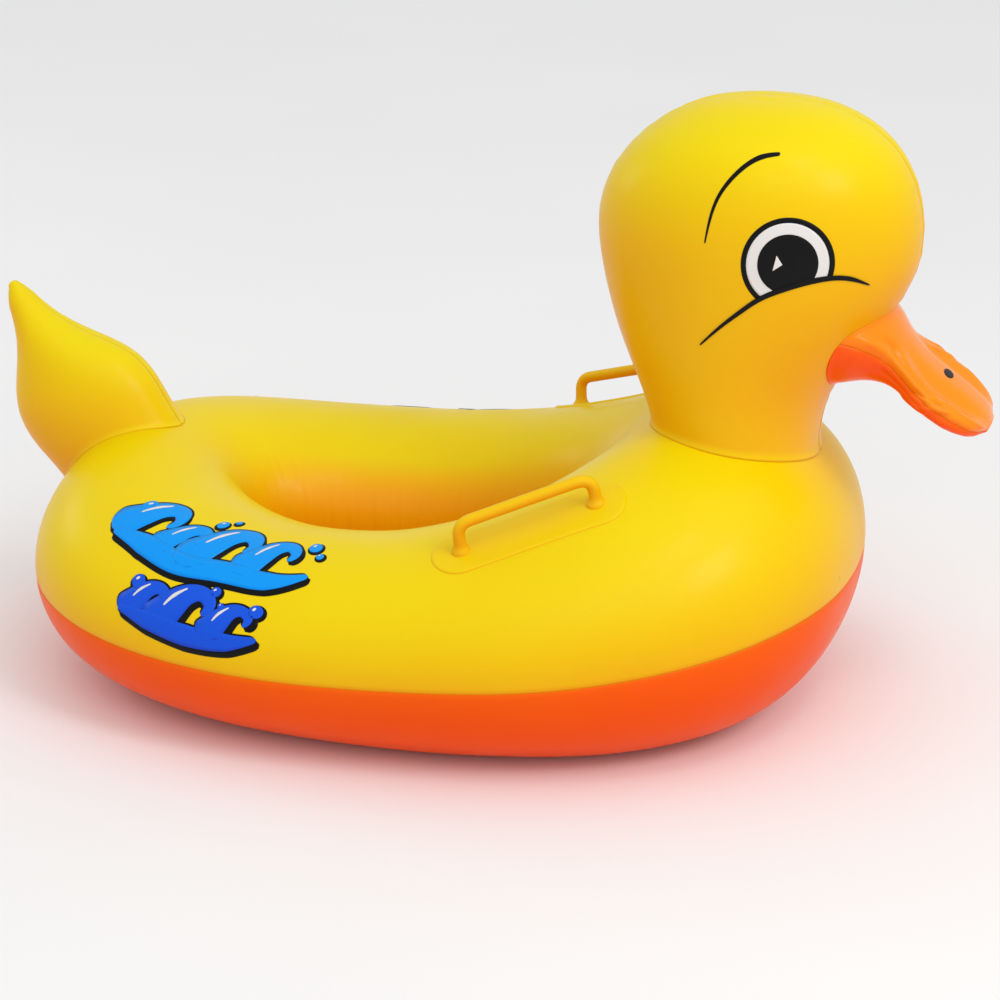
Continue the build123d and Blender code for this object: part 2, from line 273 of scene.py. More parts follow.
def ring_station(index):
    """Middle (x, y, z), outward half-width (x, y) and half-height of the tube at a station."""
    turn = tau * index / STATIONS
    outer, inner = oval(turn, **OUTER), oval(turn, **INNER)
    middle, half = (outer + inner) / 2, (outer - inner) / 2
    height = through_three(middle[0], TAIL_TUBE, MID_TUBE, BREAST_TUBE) / 2
    keel = through_three(middle[0], TAIL_LIFT, 0, 0) - FLOOR_SINK
    return [middle[0] + RING_X, middle[1], keel + height, half[0], half[1], height]


RING_WRAP = 4  # stations repeated at either end, so the spline closes smoothly
ring_rows = np.array([ring_station(i) for i in range(-RING_WRAP, STATIONS + RING_WRAP + 1)])
ring_knots = chord(ring_rows[:, :3])
RING_START, RING_LENGTH = ring_knots[RING_WRAP], ring_knots[RING_WRAP + STATIONS] - ring_knots[RING_WRAP]


def ring_run(turn):
    """Distance round the tube's middle, from the bill, to a turn in radians."""
    index = (turn / tau * STATIONS) % STATIONS
    lap = ring_knots[RING_WRAP : RING_WRAP + STATIONS + 1]
    return float(np.interp(index, range(STATIONS + 1), lap)) - RING_START


def ring_points(run, rise):
    """Points of the ring's skin, from distances round the ring and angles round the tube's section."""
    run, rise = np.broadcast_arrays(np.asarray(run, float), np.asarray(rise, float))
    rows = cubic(ring_knots, ring_rows, RING_START + np.mod(run.ravel(), RING_LENGTH))
    c, s = np.cos(rise.ravel()), np.sin(rise.ravel())
    middle, half = rows[:, :3], rows[:, 3:]
    flat = middle + half * np.stack([c, c, s], 1)
    return flat.reshape(run.shape + (3,))


def ring_normals(run, rise):
    """Outward unit normals of the ring at the same places."""
    step = 0.4
    onward = ring_points(run + step, rise) - ring_points(run - step, rise)
    upward = ring_points(run, rise + step * 0.01) - ring_points(run, rise - step * 0.01)
    cross = np.cross(onward, upward)
    return cross / np.linalg.norm(cross, axis=-1, keepdims=True)


def weld_height(x):
    """Height of the weld line between the yellow and the orange panel."""
    line = np.array(WELD_LINE, float)
    return cubic(line[:, 0], line[:, 1:], np.asarray(x, float).ravel() - RING_X)[:, 0]


def weld_rise(run, inside):
    """Angle round the tube at which it meets the weld line, on its outside or its inside."""
    low, high = (np.full(len(run), radians(a)) for a in ((90, 268) if inside else (-88, 90)))
    for _ in range(40):
        mid = (low + high) / 2
        points = ring_points(run, mid)
        above = points[:, 2] > weld_height(points[:, 0])
        if inside:
            low, high = np.where(above, mid, low), np.where(above, high, mid)
        else:
            low, high = np.where(above, low, mid), np.where(above, mid, high)
    return (low + high) / 2


RING_STEPS, TOP_STEPS, BOTTOM_STEPS = 520, 84, 64
ring_runs = np.arange(RING_STEPS) / RING_STEPS * RING_LENGTH
rise_out, rise_in = weld_rise(ring_runs, False), weld_rise(ring_runs, True)


def crowded(count):
    """Even steps from 0 to 1, drawn closer at both ends, where the welds are."""
    t = np.linspace(0, 1, count + 1)
    return t - 0.11 * np.sin(tau * t)


top_share, bottom_share = crowded(TOP_STEPS), crowded(BOTTOM_STEPS)
top_rise = rise_out[:, None] + (rise_in - rise_out)[:, None] * top_share
bottom_rise = rise_in[:, None] + (rise_out + tau - rise_in)[:, None] * bottom_share
ring_rise = np.concatenate([top_rise[:, :-1], bottom_rise[:, :-1]], axis=1)
ring_grid = ring_points(np.repeat(ring_runs[:, None], ring_rise.shape[1], 1), ring_rise)


def ring_relief():
    """How far the blown-up ring swells and puckers off its plain shape."""
    columns = ring_grid.shape[1]
    steps = np.linalg.norm(np.roll(ring_grid, -1, 1) - ring_grid, axis=2)
    run = np.cumsum(steps, axis=1) - steps
    girth = steps.sum(1, keepdims=True)
    at_in = run[:, TOP_STEPS : TOP_STEPS + 1]
    from_out = np.minimum(run, girth - run)
    from_in = np.abs(run - at_in)
    relief = np.zeros((RING_STEPS, columns))
    along = ring_runs[:, None]
    # Each weld: distance from it, depth of its pinch, height of its puckers, how far they fade, and a seed.
    welds = (
        (from_out, 0.9, 0.35, 13.0, 1.0),
        (from_in, 1.0, 1.1, 34.0, 2.0),
    )
    for gap, depth, wrinkle, fade, seed in welds:
        relief -= depth * np.exp(-((gap / 2.4) ** 2))
        # Puckers start a little off the weld, so the weld itself stays one clean line.
        relief += wrinkle * ripple(along, seed) * np.exp(-gap / fade) * (1 - np.exp(-gap / 5.0))
    slow = np.sin(along / RING_LENGTH * tau * 5 + 1.0) * np.sin(run / girth * tau * 2 + 0.6)
    quick = np.sin(along / RING_LENGTH * tau * 11 + 2.0) * np.sin(run / girth * tau * 3 + 2.2)
    return relief + 0.5 * slow + 0.3 * quick


ring_grid = ring_grid + normals(ring_grid, round_rows=True) * ring_relief()[:, :, None]
ring_grid[:, :, 2] = np.maximum(ring_grid[:, :, 2], 0.0)
ring_tree = surface(ring_grid, True, True)


# ---------------------------------------------------------------- head, tail and bill surfaces
def lofted(rows, knots, count, turns):
    """A grid from a spline through section rows: middle, fore-and-aft half-axis and side half-axis."""
    data = cubic(knots, rows, np.linspace(knots[0], knots[-1], count))
    c, s = np.cos(turns)[None, :, None], np.sin(turns)[None, :, None]
    return data[:, None, 0:3] + data[:, None, 3:6] * c + data[:, None, 6:9] * s


def with_tip(grid, bulge, rings=7):
    """Closes the first row of a grid with a low dome, so the tip is rounded."""
    first = grid[0]
    centre = first.mean(0)
    out = np.cross(first[len(first) // 4] - centre, first[0] - centre)
    out /= np.linalg.norm(out)
    if np.dot(out, centre - grid[3].mean(0)) < 0:
        out = -out
    caps = []
    for k in range(rings):
        angle = pi / 2 * k / rings
        caps.append(centre + (first - centre) * sin(angle) + out * bulge * cos(angle))
    return np.concatenate([np.array(caps), grid])


BODY_TURNS = 128
turns = np.arange(BODY_TURNS) / BODY_TURNS * tau


def seam_relief(grid, depth, wrinkle, fade, seed):
    """Pinch and puckers along the weld on the centre plane of a two-panel body."""
    gap = np.abs(grid[:, :, 1])
    run = np.cumsum(np.linalg.norm(np.diff(grid, axis=0, prepend=grid[:1]), axis=2), axis=0)
    relief = -depth * np.exp(-((gap / 2.2) ** 2))
    return relief + wrinkle * ripple(run, seed) * np.exp(-gap / fade) * (1 - 0.75 * np.exp(-gap / 3.0))


def head_surface():
    """Head and neck from the crown down to where they meet the ring."""
    rows = []
    for z, back, front, half_width in reversed(HEAD_SECTIONS):
        rows.append([(back + front) / 2 + RING_X, 0, z, (front - back) / 2, 0, 0, 0, half_width, 0])
    rows = np.array(rows)
    # Sections are spaced by the run of the outline, taken half-way between its front and its side.
    outline = rows[:, 0:3] + np.stack([rows[:, 3], rows[:, 7], 0 * rows[:, 3]], 1)
    grid = with_tip(lofted(rows, chord(outline), 220, turns), 1.6)
    return cut_columns(grid, ring_tree, 190, flare=2.2, reach=9.0)


def tail_surface():
    """Tail from its tip down to where it meets the ring."""
    rows = []
    for x, z, lean, half_length, half_width in reversed(TAIL_SECTIONS):
        fore = (cos(radians(lean)) * half_length, 0, sin(radians(lean)) * half_length)
        rows.append([x + RING_X, 0, z, *fore, 0, half_width, 0])
    rows = np.array(rows)
    grid = with_tip(lofted(rows, chord(rows[:, :3]), 150, turns), 4.0)
    return cut_columns(grid, ring_tree, 120, flare=1.8, reach=8.0)


head_grid = head_surface()
head_grid += normals(head_grid) * seam_relief(head_grid, 0.8, 0.9, 12.0, 3.0)[:, :, None]
head_tree = surface(head_grid, False, True)
tail_grid = tail_surface()
tail_grid += normals(tail_grid) * seam_relief(tail_grid, 0.7, 0.5, 9.0, 5.0)[:, :, None]
tail_tree = surface(tail_grid, False, True)


# Bill: spine point (from the ring centre, height), droop in degrees, half-width, swell of the upper and of
# the lower panel, depth of the troughs along the top, and how rounded its section is: 1 is an ellipse and
# less is fuller at its sides.
BILL_SHAPE = [
    (372, 411, 16, 77, 39, 64, 0.00, 1.00),
    (404, 404, 18, 76, 40, 64, 0.00, 1.00),
    (430, 396, 22, 69, 37, 54, 0.00, 1.00),
    (446, 387, 27, 60, 30, 42, 0.00, 0.95),
    (459, 377, 31, 56, 22, 31, 0.05, 0.85),
    (473, 366.5, 34, 64, 17, 22, 0.25, 0.70),
    (490, 354, 35, 76, 15, 19, 0.50, 0.60),
    (507, 342, 35, 76, 15, 19, 0.55, 0.58),
    (523, 330.5, 35, 70, 15, 18, 0.50, 0.58),
    (536, 321.5, 35, 59, 13, 15, 0.30, 0.62),
    (544.5, 315.5, 35, 44, 10, 11, 0.10, 0.70),
    (550, 311.5, 35, 25, 6, 6, 0.00, 0.85),
]


def bill_surface():
    """Bill from its tip back to where it meets the head. Turns run from the left weld over the top."""
    table = np.array(list(reversed(BILL_SHAPE)), float)
    table[:, 0] += RING_X
    knots = chord(table[:, :2])
    data = cubic(knots, table, np.linspace(knots[0], knots[-1], 190))
    droop = np.radians(data[:, 2])
    spine = np.stack([data[:, 0], 0 * droop, data[:, 1]], 1)
    lift = np.stack([np.sin(droop), 0 * droop, np.cos(droop)], 1)
    c, s = np.cos(turns)[None, :], np.sin(turns)[None, :]
    dish = 1 - data[:, 6:7] * np.exp(-(((np.abs(c) - 0.56) / 0.20) ** 2)) * (s > 0)
    rise = np.where(s > 0, data[:, 4:5], data[:, 5:6]) * np.sign(s) * np.abs(s) ** data[:, 7:8] * dish
    side = data[:, 3:4] * c
    grid = spine[:, None, :] + lift[:, None, :] * rise[:, :, None]
    grid = grid + np.array([0.0, 1.0, 0.0]) * side[:, :, None]
    return cut_columns(with_tip(grid, 2.5), head_tree, 170, flare=1.5, reach=7.0)


# Folds where the bill is nipped at its waist. Each runs straight between two places, given as shares of
# the way from tip to head and degrees up from the side weld, and has a breadth in degrees and a height.
BILL_FOLDS = [
    ((0.95, 16), (0.50, 12), 7.0, 3.4),
    ((0.86, 34), (0.55, 22), 6.0, -2.6),
    ((0.66, 48), (0.50, 30), 6.0, 1.8),
    ((0.60, 2), (0.44, 24), 5.0, -2.8),
    ((0.52, -4), (0.42, 12), 5.0, 2.2),
    ((0.46, 34), (0.16, 26), 7.0, 1.4),
    ((0.80, -14), (0.52, -8), 7.0, -1.8),
    ((0.62, -34), (0.50, -14), 6.0, 1.4),
]


def bill_relief(grid):
    """Pinch at the side welds, folds at the waist and faint ripples of a small blown-up bill."""
    share = np.linspace(0, 1, grid.shape[0])[:, None]
    angle = np.degrees(np.minimum(turns, (pi - turns) % tau))[None, :]
    angle = np.where(turns[None, :] > pi, -np.degrees(np.minimum(turns - pi, tau - turns))[None, :], angle)
    run = chord(grid[:, 0])[:, None]
    gap = np.abs(angle) * 0.8
    relief = -0.9 * np.exp(-((gap / 2.6) ** 2)) + 0.7 * ripple(run, 7.0) * np.exp(-gap / 14.0)
    for (share_a, angle_a), (share_b, angle_b), breadth, height in BILL_FOLDS:
        along = (share - share_a) / (share_b - share_a)
        centre = angle_a + (angle_b - angle_a) * along
        fade = smooth((along + 0.15) / 0.3) * smooth((1.15 - along) / 0.3)
        relief = relief + height * fade * np.exp(-(((angle - centre) / breadth) ** 2))
    return relief


bill_grid = bill_surface()
bill_grid += normals(bill_grid) * bill_relief(bill_grid)[:, :, None]
bill_tree = surface(bill_grid, False, True)


# ---------------------------------------------------------------- making pieces
def finish_piece(piece, material, replaced=()):
    """Puts a finished piece on the float's own body and gives it its material."""
    piece.data.materials.append(material)
    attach(piece, "root")
    if replaced:
        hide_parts(*replaced)
    return piece


def joined_mesh(name, grids, round_cols):
    """One mesh from several grids of points."""
    parts = [grid_mesh(name, grid, False, round_cols) for grid in grids]
    whole = parts[0]
    shape = bmesh.new()
    for part in parts:
        shape.from_mesh(part.data)
    shape.to_mesh(whole.data)
    shape.free()
    for part in parts[1:]:
        bpy.data.objects.remove(part)
    return whole


def land(start, heading, tree, lift):
    """Drops points along a heading onto a surface and lifts them off it by so much, all in millimetres."""
    shape = start.shape
    lift = np.broadcast_to(lift, shape[:-1]).ravel()
    heading = np.broadcast_to(heading, shape).reshape(-1, 3)
    out = []
    for point, way, height in zip(start.reshape(-1, 3), heading, lift):
        spot, facing, _, _ = tree.ray_cast(Vector(point), Vector(way))
        if spot is None:
            spot, facing, _, _ = tree.find_nearest(Vector(point))
        if facing.dot(Vector(way)) > 0:
            facing = -facing
        out.append(spot + facing * float(height))
    return np.array(out).reshape(shape)


def faced(grid, outward, round_cols):
    """The grid, turned over if its faces look away from the outward direction."""
    if np.sum(normals(grid, False, round_cols) * outward) < 0:
        return grid[:, ::-1]
    return grid


def spread(outline, rings):
    """Rings of points from the middle of a rounded outline out to it."""
    outline = np.asarray(outline, float)
    middle = outline.mean(0)
    share = np.linspace(0, 1, rings)[:, None, None]
    return middle + (outline - middle) * share


def ellipse(x, y, half_width, half_height, tilt=0.0, count=48):
    """Points round an ellipse."""
    angle = np.arange(count) / count * tau
    a, b = half_width * np.cos(angle), half_height * np.sin(angle)
    c, s = cos(radians(tilt)), sin(radians(tilt))
    return np.stack([x + a * c - b * s, y + a * s + b * c], 1)


def stroke(points, widths, rows=48, across=5):
    """A brush stroke with rounded ends through points, as a grid of points in the plane."""
    points, widths = np.asarray(points, float), np.asarray(widths, float)
    knots = chord(points)
    where = np.linspace(0, knots[-1], rows)
    line = cubic(knots, points, where)
    width = np.interp(where, knots, widths)
    nearest_end = np.minimum(where, knots[-1] - where)
    reach = np.clip(nearest_end / np.maximum(width / 2, 0.1), 0, 1)
    width = width * np.sqrt(np.clip(1 - (1 - reach) ** 2, 0.0, 1))
    ahead = np.gradient(line, axis=0)
    ahead /= np.linalg.norm(ahead, axis=1, keepdims=True)
    beside = np.stack([-ahead[:, 1], ahead[:, 0]], 1)
    offset = np.linspace(-0.5, 0.5, across)[None, :, None]
    return line[:, None, :] + beside[:, None, :] * width[:, None, None] * offset


# ---------------------------------------------------------------- materials
def remapped(tree, value, from_low, from_high, low, high, soft=False):
    """A value moved into another range: softly and held at its ends, or straight and without limit."""
    node = tree.nodes.new("ShaderNodeMapRange")
    node.clamp = soft
    if soft:
        node.interpolation_type = "SMOOTHSTEP"
    tree.links.new(value, node.inputs["Value"])
    node.inputs["From Min"].default_value = from_low
    node.inputs["From Max"].default_value = from_high
    node.inputs["To Min"].default_value = low
    node.inputs["To Max"].default_value = high
    return node.outputs["Result"]


def arithmetic(tree, operation, *values):
    """A sum worked out by the material, from sockets or plain numbers."""
    node = tree.nodes.new("ShaderNodeMath")
    node.operation = operation
    for socket, value in zip(node.inputs, values):
        if isinstance(value, float):
            socket.default_value = value
        else:
            tree.links.new(value, socket)
    return node.outputs["Value"]


NOISE_LOW, NOISE_HIGH = 0.3, 0.7  # most of a noise texture lies between these


def noise(tree, scale, detail, low, high, coordinates):
    """Noise through the object, mostly from low to high, with nothing cut off."""
    texture = tree.nodes.new("ShaderNodeTexNoise")
    texture.inputs["Scale"].default_value = scale
    texture.inputs["Detail"].default_value = detail
    tree.links.new(coordinates, texture.inputs["Vector"])
    return remapped(tree, texture.outputs["Fac"], NOISE_LOW, NOISE_HIGH, low, high)


def mixed(tree, factor, first, second):
    """A colour mixed from two colours or sockets by a factor socket."""
    mix = tree.nodes.new("ShaderNodeMix")
    mix.data_type = "RGBA"
    tree.links.new(factor, mix.inputs["Factor"])
    for socket, colour in ((mix.inputs[6], first), (mix.inputs[7], second)):
        if isinstance(colour, tuple):
            socket.default_value = (*colour, 1.0)
        else:
            tree.links.new(colour, socket)
    return mix.outputs[2]


WELL = ((-72.0, 205.0), (0.0, 118.0))  # seat hole: middle and reach along X, then along Y, in millimetres
# Squared share of those reaches where the hole's painted shade starts, is full, and how full.
WELL_RIM, WELL_WALL, WELL_SHADE_MOST = 1.05, 0.45, 0.9


def painted_well_shade(tree, coordinates):
    """Share of the painted shade in the seat hole: nearly 1 down inside it, fading to 0 over its rim."""
    apart = tree.nodes.new("ShaderNodeSeparateXYZ")
    tree.links.new(coordinates, apart.inputs["Vector"])
    squares = []
    for axis, (middle, reach) in zip(("X", "Y"), WELL):
        scaled = arithmetic(tree, "MULTIPLY_ADD", apart.outputs[axis], 1 / (reach * MM), -middle / reach)
        squares.append(arithmetic(tree, "MULTIPLY", scaled, scaled))
    return remapped(tree, arithmetic(tree, "ADD", *squares), WELL_RIM, WELL_WALL, 0.0, WELL_SHADE_MOST, soft=True)


# Painted shade: the colour warms and darkens as a face turns down. Upward share of its normal where that
# starts, is full, and how full.
PAINTED_SHADE_FROM, PAINTED_SHADE_TO, PAINTED_SHADE_MOST = 0.88, -0.6, 0.95
ROUGH_LESS, ROUGH_MORE = 0.05, 0.06  # how far roughness drifts either way


def film(name, lit, painted_shade, rough, peel, gloss=0.12, clear=0.0, glow=0.0, well_shade_colour=None):
    """Vinyl film or ink: two close shades in slow drifts, painted shade where it faces down or sits in the
    seat hole, with a fine skin.
    """
    material = bpy.data.materials.new(name)
    material.use_nodes = True
    tree = material.node_tree
    shader = tree.nodes["Principled BSDF"]
    coordinates = tree.nodes.new("ShaderNodeTexCoord").outputs["Object"]
    drift = noise(tree, 5.0, 2.0, 0.0, 0.12, coordinates)
    geometry = tree.nodes.new("ShaderNodeNewGeometry")
    split = tree.nodes.new("ShaderNodeSeparateXYZ")
    tree.links.new(geometry.outputs["Normal"], split.inputs["Vector"])
    # Painted shade: warmer and darker as the face turns down, mixed with the slow random drift.
    facing = remapped(tree, split.outputs["Z"], PAINTED_SHADE_FROM, PAINTED_SHADE_TO, 0.0, PAINTED_SHADE_MOST, soft=True)
    drift_and_painted_shade = arithmetic(tree, "ADD", drift, facing)
    drift_and_painted_shade.node.use_clamp = True
    colour = mixed(tree, drift_and_painted_shade, lit, painted_shade)
    # Painted shade: a warmer orange down inside the seat hole.
    if well_shade_colour:
        colour = mixed(tree, painted_well_shade(tree, coordinates), colour, well_shade_colour)
    tree.links.new(colour, shader.inputs["Base Color"])
    unevenness = noise(tree, 14.0, 3.0, rough - ROUGH_LESS, rough + ROUGH_MORE, coordinates)
    tree.links.new(unevenness, shader.inputs["Roughness"])
    shader.inputs["Specular IOR Level"].default_value = gloss
    shader.inputs["Coat Weight"].default_value = clear
    shader.inputs["Coat Roughness"].default_value = 0.12
    if glow:
        shader.inputs["Subsurface Weight"].default_value = glow
        shader.inputs["Subsurface Radius"].default_value = (1.0, 0.4, 0.1)
        shader.inputs["Subsurface Scale"].default_value = 0.003
    # Film is never quite even: long slack waves and a very fine orange peel.
    slack = noise(tree, 9.0, 1.0, 0.0, 1.0, coordinates)
    grain = noise(tree, 420.0, 2.0, 0.0, peel, coordinates)
    bump = tree.nodes.new("ShaderNodeBump")
    bump.inputs["Strength"].default_value = 0.5
    bump.inputs["Distance"].default_value = 0.0008
    tree.links.new(arithmetic(tree, "ADD", slack, grain), bump.inputs["Height"])
    tree.links.new(bump.outputs["Normal"], shader.inputs["Normal"])
    return material


# Each film: lit colour, painted shade colour where it faces down, roughness, strength of its orange peel.
YELLOW = film(
    "yellow_vinyl",
    (0.880, 0.690, 0.001),
    (0.850, 0.360, 0.001),
    0.33,
    0.05,
    clear=0.03,
    glow=0.05,
)
# The ring's top film gets a painted orange shade down inside the seat hole.
YELLOW_RING = film(
    "yellow_ring_vinyl",
    (0.880, 0.670, 0.001),
    (0.850, 0.330, 0.001),
    0.33,
    0.05,
    clear=0.03,
    glow=0.05,
    well_shade_colour=(0.990, 0.400, 0.001),
)
ORANGE = film(
    "orange_vinyl",
    (0.960, 0.160, 0.001),
    (0.930, 0.085, 0.001),
    0.34,
    0.05,
    gloss=0.08,
    clear=0.02,
    glow=0.07,
)
BILL_TOP = film(
    "bill_top_vinyl",
    (0.985, 0.290, 0.006),
    (0.975, 0.190, 0.003),
    0.24,
    0.05,
    clear=0.10,
    glow=0.08,
)
# The under panel's deeper orange than the top panel is painted shade of the bill's down-facing side.
BILL_UNDER = film(
    "bill_under_vinyl",
    (0.980, 0.150, 0.002),
    (0.970, 0.085, 0.001),
    0.26,
    0.05,
    clear=0.08,
    glow=0.08,
)
GRIP = film("handle_vinyl", (0.880, 0.560, 0.003), (0.820, 0.320, 0.001), 0.40, 0.20)
PAD = film("pad_vinyl", (0.880, 0.640, 0.002), (0.830, 0.350, 0.001), 0.34, 0.10, clear=0.02)
VALVE = film(
    "valve_vinyl",
    (0.800, 0.810, 0.790),
    (0.700, 0.700, 0.640),
    0.25,
    0.05,
    gloss=0.30,
    clear=0.10,
    glow=0.15,
)
BLACK = film("black_ink", (0.003, 0.003, 0.004), (0.007, 0.006, 0.006), 0.38, 0.05)
WHITE = film("white_ink", (0.800, 0.770, 0.760), (0.720, 0.680, 0.640), 0.34, 0.05)
SKY = film("sky_blue_ink", (0.001, 0.330, 0.930), (0.002, 0.180, 0.780), 0.34, 0.05)
SEA = film("sea_blue_ink", (0.008, 0.100, 0.760), (0.010, 0.060, 0.600), 0.34, 0.05)

VALVE_TREES = {"ring": ring_tree, "head": head_tree, "tail": tail_tree}
for valve in VALVE_TREES:
    for part in ("flange", "stem", "stopper", "strap", "flap"):
        node = bpy.data.objects[f"{valve}_valve_{part}"]
        node.data.materials.clear()
        node.data.materials.append(VALVE)


# ---------------------------------------------------------------- vinyl skins
def panel(name, grid, material, replaced, round_rows=False):
    """One panel of film, with its own thickness, standing for its CAD node."""
    piece = grid_mesh(name, grid, round_rows)
    thicken(piece, FILM)
    return finish_piece(piece, material, [replaced])


panel("ring_top_skin", ring_grid[:, : TOP_STEPS + 1], YELLOW_RING, "ring_top_panel", True)
ring_bottom = np.concatenate([ring_grid[:, TOP_STEPS:], ring_grid[:, :1]], axis=1)
panel("ring_bottom_skin", ring_bottom, ORANGE, "ring_bottom_panel", True)
for body, grid in (("head", head_grid), ("tail", tail_grid)):
    left = grid[:, : BODY_TURNS // 2 + 1]
    right = np.concatenate([grid[:, BODY_TURNS // 2 :], grid[:, :1]], axis=1)
    panel(f"{body}_left_skin", left, YELLOW, f"{body}_left_panel")
    panel(f"{body}_right_skin", right, YELLOW, f"{body}_right_panel")
upper = bill_grid[:, : BODY_TURNS // 2 + 1]
lower = np.concatenate([bill_grid[:, BODY_TURNS // 2 :], bill_grid[:, :1]], axis=1)
panel("bill_upper_skin", upper, BILL_TOP, "bill_upper_panel")
panel("bill_lower_skin", lower, BILL_UNDER, "bill_lower_panel")


# ---------------------------------------------------------------- face
def beside_head(side):
    """A function that puts flat points, given as place fore and aft and height, out beside the head."""

    def place(flat):
        return np.stack([flat[..., 0], np.full(flat.shape[:-1], side * 200.0), flat[..., 1]], -1)

    return place


INK = 0.12  # thickness of a print
INK_STEP = 0.01  # each shape of one print sits this much higher than the last
# Face lines as places fore and aft and heights, and their widths.
LID = [
    (250.9, 403.9),
    (271.7, 425.3),
    (290, 441.3),
    (306.8, 454.3),
    (329.9, 465.2),
    (355.6, 473),
    (388.2, 472.6),
    (403.9, 464.1),
]
LID_WIDTH = [1.6, 3.2, 4.2, 4.8, 5.4, 5.6, 4.4, 1.4]
BROW = [
    (253.8, 504.3),
    (257.5, 526.2),
    (264.7, 548.9),
    (274.8, 564.5),
    (287, 576.7),
    (299.5, 584),
    (317.3, 587.2),
]
BROW_WIDTH = [1.4, 2.6, 3.4, 3.9, 4.2, 4.4, 3.0]
# Eye: middle of its rim and its white, middle of its pupil, half-widths and half-heights, and its glint.
EYE = (331.5, 488.5)
PUPIL = (332.0, 489.0)
EYE_RIM_SIZE, EYE_WHITE_SIZE, PUPIL_SIZE = (42.5, 44.5), (37.5, 39.5), (27.5, 28.5)
GLINT = [(321.9, 497.5), (327.5, 488.8), (318.6, 482.5)]
lid_line = np.array(LID)


def above_lid(outline):
    """Draws an outline round the eye in to where the lid line covers it."""
    out = []
    for point in outline:
        ray_out = point - np.array(EYE)
        share = 1.0
        while share > 0.2:
            spot = np.array(EYE) + ray_out * share
            if spot[1] > np.interp(spot[0], lid_line[:, 0], lid_line[:, 1]):
                break
            share -= 0.01
        out.append(np.array(EYE) + ray_out * share)
    return np.array(out)


def printed(name, grids, start, heading, tree, lift, material, round_cols):
    """Prints flat grids of points onto a skin as thin films, each a hair above the last."""
    heading = np.array(heading, float)
    landed = []
    for step, grid in enumerate(grids):
        dropped = land(start(grid), heading, tree, lift + INK_STEP * step)
        landed.append(faced(dropped, -heading, round_cols))
    piece = joined_mesh(name, landed, round_cols)
    thicken(piece, INK, outward=True)
    return finish_piece(piece, material)


for word, side in SIDES:
    black_eye = spread(above_lid(ellipse(*EYE, *EYE_RIM_SIZE, count=96)), 22)
    white_eye = spread(above_lid(ellipse(*EYE, *EYE_WHITE_SIZE, count=96)), 20)
    pupil = spread(above_lid(ellipse(*PUPIL, *PUPIL_SIZE, count=96)), 16)
    corners = np.array(GLINT + GLINT[:1])
    edges = [np.linspace(corners[i], corners[i + 1], 9)[:-1] for i in range(3)]
    glint_line = np.concatenate(edges)
    start, inward = beside_head(side), (0, -side, 0)
    for name, grids, lift, material, round_cols in (
        (f"eye_outline_{word}", [black_eye], 0.15, BLACK, True),
        (f"eye_white_{word}", [white_eye], 0.40, WHITE, True),
        (f"eye_pupil_{word}", [pupil], 0.65, BLACK, True),
        (f"eye_glint_{word}", [spread(glint_line, 5)], 0.90, WHITE, True),
        (f"eye_lid_{word}", [stroke(LID, LID_WIDTH, 120)], 0.95, BLACK, False),
        (f"eye_brow_{word}", [stroke(BROW, BROW_WIDTH, 100)], 0.15, BLACK, False),
    ):
        printed(name, grids, start, inward, head_tree, lift, material, round_cols)


# ---------------------------------------------------------------- nostril spot
NOSTRIL = (466.0, 347.0)  # fore and aft, height, under the spot
BILL_DROOP = radians(35)
bill_up = np.array([sin(BILL_DROOP), 0, cos(BILL_DROOP)])
bill_on = np.array([cos(BILL_DROOP), 0, -sin(BILL_DROOP)])
above_bill = np.array([NOSTRIL[0], 0.0, NOSTRIL[1]]) + bill_up * 60


def bill_point(flat):
    """Points above the bill for flat points given as place along it and place to its left."""
    return above_bill + flat[..., :1] * bill_on + flat[..., 1:] * np.array([0.0, 1.0, 0.0])


spot = spread(ellipse(0, 0, 5.6, 11.0, count=40), 6)
printed("nostril", [spot], bill_point, -bill_up, bill_tree, 0.15, BLACK, True)


# ---------------------------------------------------------------- grab handles and their pads
def ring_turn_point(turn, rise):
    """A point of the ring's plain shape and its outward normal, from a turn and a rise in radians."""
    run = np.array([ring_run(turn % tau)])
    rises = np.array([rise])
    return ring_points(run, rises)[0], ring_normals(run, rises)[0]


def bent(start, corner, end, steps=8):
    """Points of a bend that leaves its start towards a corner and arrives at its end."""
    t = np.arange(1, steps + 1)[:, None] / steps
    return (1 - t) ** 2 * start + 2 * t * (1 - t) * corner + t * t * end


def bow(rear, front, up):
    """Middle line of a grab handle: two legs, two bends and the grip."""
    along = (front - rear) / np.linalg.norm(front - rear)
    turn_angle = np.arccos(np.dot(up, along))
    reach = GRIP_BEND * np.tan(turn_angle / 2)
    far_reach = GRIP_BEND * np.tan((pi - turn_angle) / 2)
    corner, far_corner = rear + up * GRIP_HEIGHT, front + up * GRIP_HEIGHT
    start, end = corner + along * reach, far_corner - along * far_reach
    line = [rear + up * h for h in np.linspace(0, GRIP_HEIGHT - reach, 9)]
    line.extend(bent(corner - up * reach, corner, start))
    line.extend(start + (end - start) * t for t in np.linspace(0, 1, 16)[1:])
    line.extend(bent(end, far_corner, far_corner - up * far_reach))
    line.extend(front + up * h for h in np.linspace(GRIP_HEIGHT - far_reach, 0, 9)[1:])
    return np.array(line)


def tube(line, radii, around=28):
    """A round tube along a line, with its own radius at every point."""
    ahead = np.gradient(line, axis=0)
    ahead /= np.linalg.norm(ahead, axis=1, keepdims=True)
    side = np.cross(line[-1] - line[0], line[len(line) // 2] - line[0])
    side /= np.linalg.norm(side)
    over = np.cross(ahead, side)
    over /= np.linalg.norm(over, axis=1, keepdims=True)
    angle = (np.arange(around) / around * tau)[None, :, None]
    spoke = side[None, None, :] * np.cos(angle) + over[:, None, :] * np.sin(angle)
    return line[:, None, :] + spoke * np.asarray(radii)[:, None, None]


